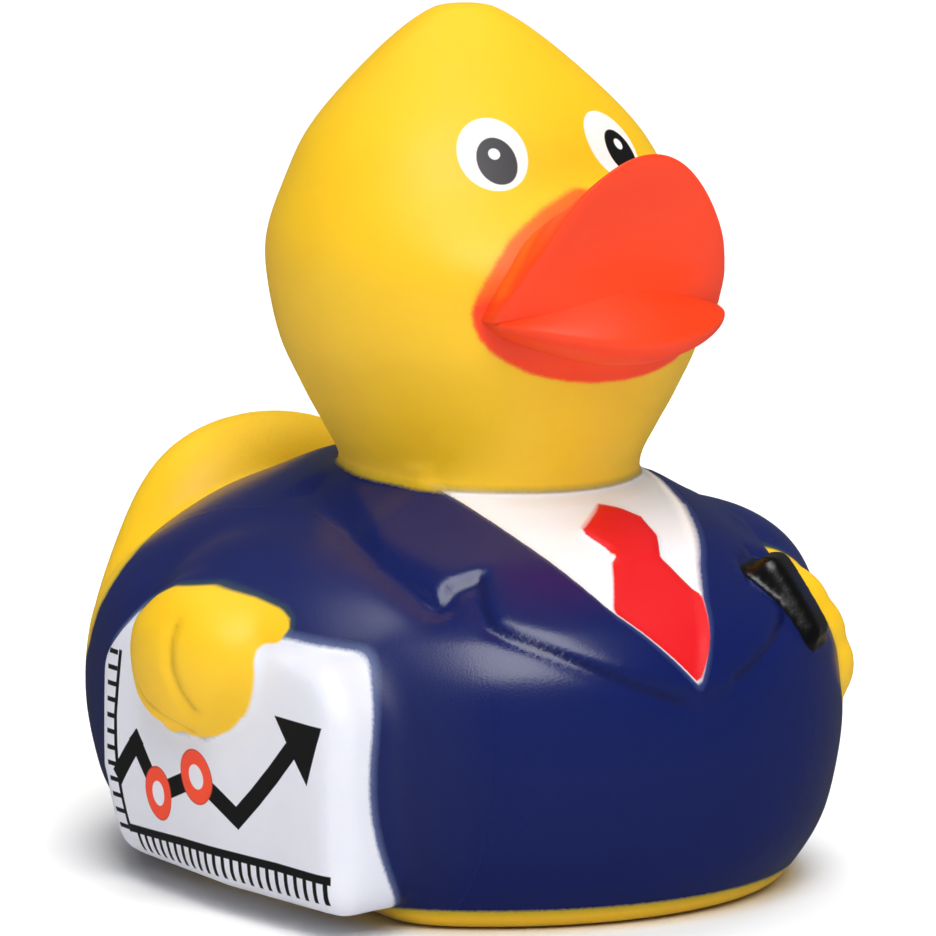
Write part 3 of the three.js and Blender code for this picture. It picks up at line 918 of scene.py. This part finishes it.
# Eyes: side, places of the pupil and the glint on the white, and colour of the pupil. The right pupil's
# grey is painted sheen over the black ink that both pupils have. Each oval reaches
# as deep as EYE_DEPTH, so that the curve of the head doesn't cut it off.
EYES = [(-1, (0.28, -0.79), (0.11, -0.02), PUPIL_SHEEN_GREY), (1, (0.75, -0.8), (0.86, 0.1), PUPIL_BLACK)]
EYE_CENTRE = (7.27, -10.52, 72.07)
EYE_HALF = (3.49, 4.05)
PUPIL_HALF = (2.0, 2.58)
PUPIL_LEAN = 0.09
GLINT_HALF = (0.58, 0.6)
EYE_DEPTH = 12


def eyes(tree, look, place, ragged):
    """Flat printed eyes: white ovals, dark pupils and a glint in each, with painted sheen making the
    right pupil grey.
    """
    for side, pupil, glint, dark in EYES:
        centre = Vector((side * EYE_CENTRE[0], EYE_CENTRE[1], EYE_CENTRE[2]))
        across = Vector((0.949, 0.315 * side, 0)).normalized()
        up = Vector((-0.171 * side, 0.514, 0.84)).normalized()
        square = Matrix((across, up, across.cross(up))).transposed()
        ovals = [
            ((0, 0), EYE_HALF, 0, EYE_WHITE), (pupil, PUPIL_HALF, PUPIL_LEAN, dark),
            (glint, GLINT_HALF, 0, EYE_GLINT),
        ]
        for offset, half, lean, colour in ovals:
            middle = centre + across * offset[0] + up * offset[1]
            turned = (square @ Matrix.Rotation(lean, 3, "Z")).to_euler("XYZ")
            reach = (half[0] * MM, half[1] * MM, EYE_DEPTH * MM)
            oval = {0: place, 1: here(*middle), 2: turned, 3: reach}
            spot = add(tree, "Mapping", oval, vector_type="TEXTURE")
            away = add(tree, "VectorMath", {0: spot}, out=1, operation="LENGTH")
            away = add(tree, "Math", {0: away, 1: min(half)}, operation="MULTIPLY")
            coat(tree, look, cover(tree, away, PRINT_SOFT, ragged, wider=min(half)), linear(colour))


def vinyl():
    """Soft PVC, rotationally moulded and spray painted through masks: satin, with a fine grain.
    The yellow is the vinyl itself, a little translucent, and the paints on it are smoother."""
    material, tree = new_material("painted_soft_vinyl")
    place = add(tree, "TexCoord", out="Object")
    grain = add(tree, "TexNoise", {0: place, "Scale": 1 / (0.35 * MM), "Detail": 2.0})
    speckle = add(tree, "TexNoise", {0: place, "Scale": 1 / (0.22 * MM), "Detail": 1.0})
    clouds = add(tree, "TexNoise", {0: place, "Scale": 1 / (9 * MM), "Detail": 3.0})
    ragged = add(tree, "Math", {0: grain, 1: 0.25, 2: -0.125}, operation="MULTIPLY_ADD")
    little = add(tree, "Math", {0: grain, 1: 0.03, 2: -0.015}, operation="MULTIPLY_ADD")
    gap = {
        name: add(tree, "Attribute", out="Fac", attribute_name=name)
        for name in ("jacket", "shirt", "tie", "board", "hands", "phone", "bill", "bill_red", "groove_shade")
    }
    yellows = {0: clouds, 6: linear(VINYL_YELLOW), 7: linear(VINYL_YELLOW_DARK)}
    yellow = add(tree, "Mix", yellows, out=2, data_type="RGBA")
    look = {"colour": yellow, "roughness": 0.5}

    # Jacket, glossy on the chest and duller towards the right sleeve, as in the photo
    fringe = cover(tree, gap["jacket"], 0.4, ragged, wider=0.45)
    coat(tree, look, fringe, linear(NAVY_FRINGE), strength=0.5)
    sideways = add(tree, "SeparateXYZ", {0: place})
    sleeve = {0: sideways, 1: AXIS.x - 20 * MM, 2: AXIS.x - 27 * MM, 3: 0.27, 4: 0.5}
    jacket = cover(tree, gap["jacket"], 0.16, ragged)
    coat(tree, look, jacket, linear(NAVY), add(tree, "MapRange", sleeve))

    # Shirt and tie
    fringe = cover(tree, gap["shirt"], 0.35, ragged, wider=0.3)
    coat(tree, look, fringe, linear(SHIRT_FRINGE), strength=0.2)
    coat(tree, look, cover(tree, gap["shirt"], 0.12, little), linear(SHIRT_WHITE), 0.38)
    coat(tree, look, cover(tree, gap["tie"], 0.07, little), linear(TIE_RED), 0.5)

    # Board with its chart, and the hands over it
    rim = cover(tree, gap["hands"], 0.3, ragged, wider=0.3)
    coat(tree, look, rim, linear(HAND_FRINGE), strength=0.4)
    fringe = cover(tree, gap["board"], 0.5, ragged, wider=0.5)
    coat(tree, look, fringe, linear(BOARD_FRINGE), strength=0.3)
    whites = {0: clouds, 6: linear(BOARD_WHITE), 7: linear(BOARD_WHITE_DARK)}
    board = cover(tree, gap["board"], 0.2, ragged)
    coat(tree, look, board, add(tree, "Mix", whites, out=2, data_type="RGBA"), 0.4)
    chart(tree, look, place, board, little)
    coat(tree, look, cover(tree, gap["hands"], 0.12, little), yellow, 0.5)
    coat(tree, look, cover(tree, gap["phone"], 0.12, little), linear(PHONE_BLACK), 0.3)

    # Bill, sprayed orange with a wide soft edge and red over it, then the eyes, then painted shade along
    # the grooves
    fringe = cover(tree, gap["bill"], 0.35, ragged, wider=0.15)
    coat(tree, look, fringe, linear(BILL_FRINGE), strength=0.35)
    orange = cover(tree, gap["bill"], 0.2, ragged)
    coat(tree, look, orange, linear(BILL_ORANGE), 0.55)
    red = add(tree, "Math", {0: orange, 1: cover(tree, gap["bill_red"], 1.2)}, operation="MULTIPLY")
    coat(tree, look, red, linear(BILL_RED))
    eyes(tree, look, place, little)
    # Painted shade: the grooves along the lapels' edges and between the fingers are made darker
    groove_shade = cover(tree, gap["groove_shade"], 0.3, wider=0.3)
    coat(tree, look, groove_shade, linear(GROOVE_PAINTED_SHADE), strength=0.4)

    bump = add(tree, "Bump", {"Height": speckle, "Strength": 0.4, "Distance": 0.03 * MM})
    shader = add(tree, "BsdfPrincipled", {
        "Base Color": look["colour"],
        "Roughness": look["roughness"],
        "Normal": bump,
        "IOR": 1.5,
        "Specular IOR Level": 0.45,
        "Subsurface Weight": 0.12,
        "Subsurface Radius": (1.0, 0.45, 0.12),
        "Subsurface Scale": 1.2 * MM,
    })
    add(tree, "OutputMaterial", {0: shader}, out=slice(0, 0))
    return material


def plain_plastic(name, colour, roughness, mark):
    """Unpainted plastic of the squeaker, with faint marks of the given size in millimetres."""
    material, tree = new_material(name)
    place = add(tree, "TexCoord", out="Object")
    noise = add(tree, "TexNoise", {0: place, "Scale": 1 / (mark * MM), "Detail": 2.0})
    light = tuple(min(1, 1.06 * channel) for channel in linear(colour))
    tint = add(tree, "Mix", {0: noise, 6: linear(colour), 7: light}, out=2, data_type="RGBA")
    bump = add(tree, "Bump", {"Height": noise, "Strength": 0.1, "Distance": 0.02 * MM})
    looks = {"Base Color": tint, "Normal": bump, "Roughness": roughness, "IOR": 1.51}
    shader = add(tree, "BsdfPrincipled", looks)
    add(tree, "OutputMaterial", {0: shader}, out=slice(0, 0))
    return material


def paint(obj, material):
    obj.data.materials.clear()
    obj.data.materials.append(material)


soft_vinyl = vinyl()
paint(skin, soft_vinyl)
paint(bill, soft_vinyl)
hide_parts("duck_shell")
for piece in (skin, bill):
    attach(piece, "root")
# Polyethylene, injection moulded: milky white and waxy, so its gloss is broad
squeaker_plastic = plain_plastic("moulded_polyethylene", SQUEAKER_WHITE, 0.4, 1.5)
# Polyester, drawn to a film: smooth and a little yellow, with a sharper gloss
reed_film = plain_plastic("polyester_film", REED_WHITE, 0.25, 0.8)
for node_name in ("squeaker_body", "reed_base", "reed_clamp"):
    paint(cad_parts[node_name], squeaker_plastic)
paint(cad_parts["reed_strip"], reed_film)


# Floor, light and camera

ROOM_LIGHT = 0.11
LAMP_AIM_HEIGHT = 40
FLOOR_HALF = 6


def stage_floor():
    bm = bmesh.new()
    bmesh.ops.create_grid(bm, x_segments=1, y_segments=1, size=FLOOR_HALF)
    mesh = bpy.data.meshes.new("studio_floor")
    bm.to_mesh(mesh)
    bm.free()
    floor = bpy.data.objects.new("studio_floor", mesh)
    bpy.context.scene.collection.objects.link(floor)
    # Studio paper, pressed and uncoated: it scatters all light and has no gloss
    material, tree = new_material("pale_paper")
    shader = add(tree, "BsdfDiffuse", {0: linear(PAPER_WHITE)})
    add(tree, "OutputMaterial", {0: shader}, out=slice(0, 0))
    mesh.materials.append(material)
    floor.visible_glossy = False


def softbox(name, azimuth, elevation, distance, size, power, glossy=True):
    """Rectangular lamp that points at the middle of the duck, mirrored in the gloss or not."""
    a, e = math.radians(azimuth), math.radians(elevation)
    way = Vector((math.sin(a) * math.cos(e), -math.cos(a) * math.cos(e), math.sin(e)))
    light = bpy.data.lights.new(name, "AREA")
    light.shape = "RECTANGLE"
    light.size, light.size_y = size
    light.energy = power
    lamp = bpy.data.objects.new(name, light)
    target = Vector(here(0, 0, LAMP_AIM_HEIGHT))
    lamp.location = target + way * distance
    lamp.rotation_euler = way.to_track_quat("Z", "Y").to_euler()
    lamp.visible_glossy = glossy
    bpy.context.scene.collection.objects.link(lamp)


stage_floor()
softbox("key_softbox", -25, 52, 3.0, (1.5, 2.6), 86)
softbox("left_softbox", -110, 20, 3.0, (2.4, 2.4), 5)
softbox("back_softbox", 144, 62, 2.6, (2.6, 1.6), 36, glossy=False)
softbox("overhead_softbox", 0, 90, 5.0, (7.0, 7.0), 75, glossy=False)

world = bpy.data.worlds.new("studio")
world.use_nodes = True
tree = world.node_tree
tree.nodes.clear()
shine = add(tree, "Background", {0: (1, 1, 1, 1), 1: ROOM_LIGHT})
add(tree, "OutputWorld", {0: shine}, out=slice(0, 0))
bpy.context.scene.world = world
bpy.context.scene.view_settings.view_transform = "Standard"

# The photo's camera, as its perspective gives it: where it stands, what it aims at, and its lens
CAMERA_PLACE = (-409.187, -559.530, 137.449)
CAMERA_AIM = (-1.742, 1.270, 40.028)
CAMERA_LENS = 276.923

camera_data = bpy.data.cameras.new("photo_camera")
camera_data.lens = CAMERA_LENS
camera_data.sensor_width = 36
camera_data.clip_end = 20
camera = bpy.data.objects.new("photo_camera", camera_data)
camera.location = here(*CAMERA_PLACE)
backwards = Vector(here(*CAMERA_PLACE)) - Vector(here(*CAMERA_AIM))
camera.rotation_euler = backwards.to_track_quat("Z", "Y").to_euler()
bpy.context.scene.collection.objects.link(camera)
bpy.context.scene.camera = camera
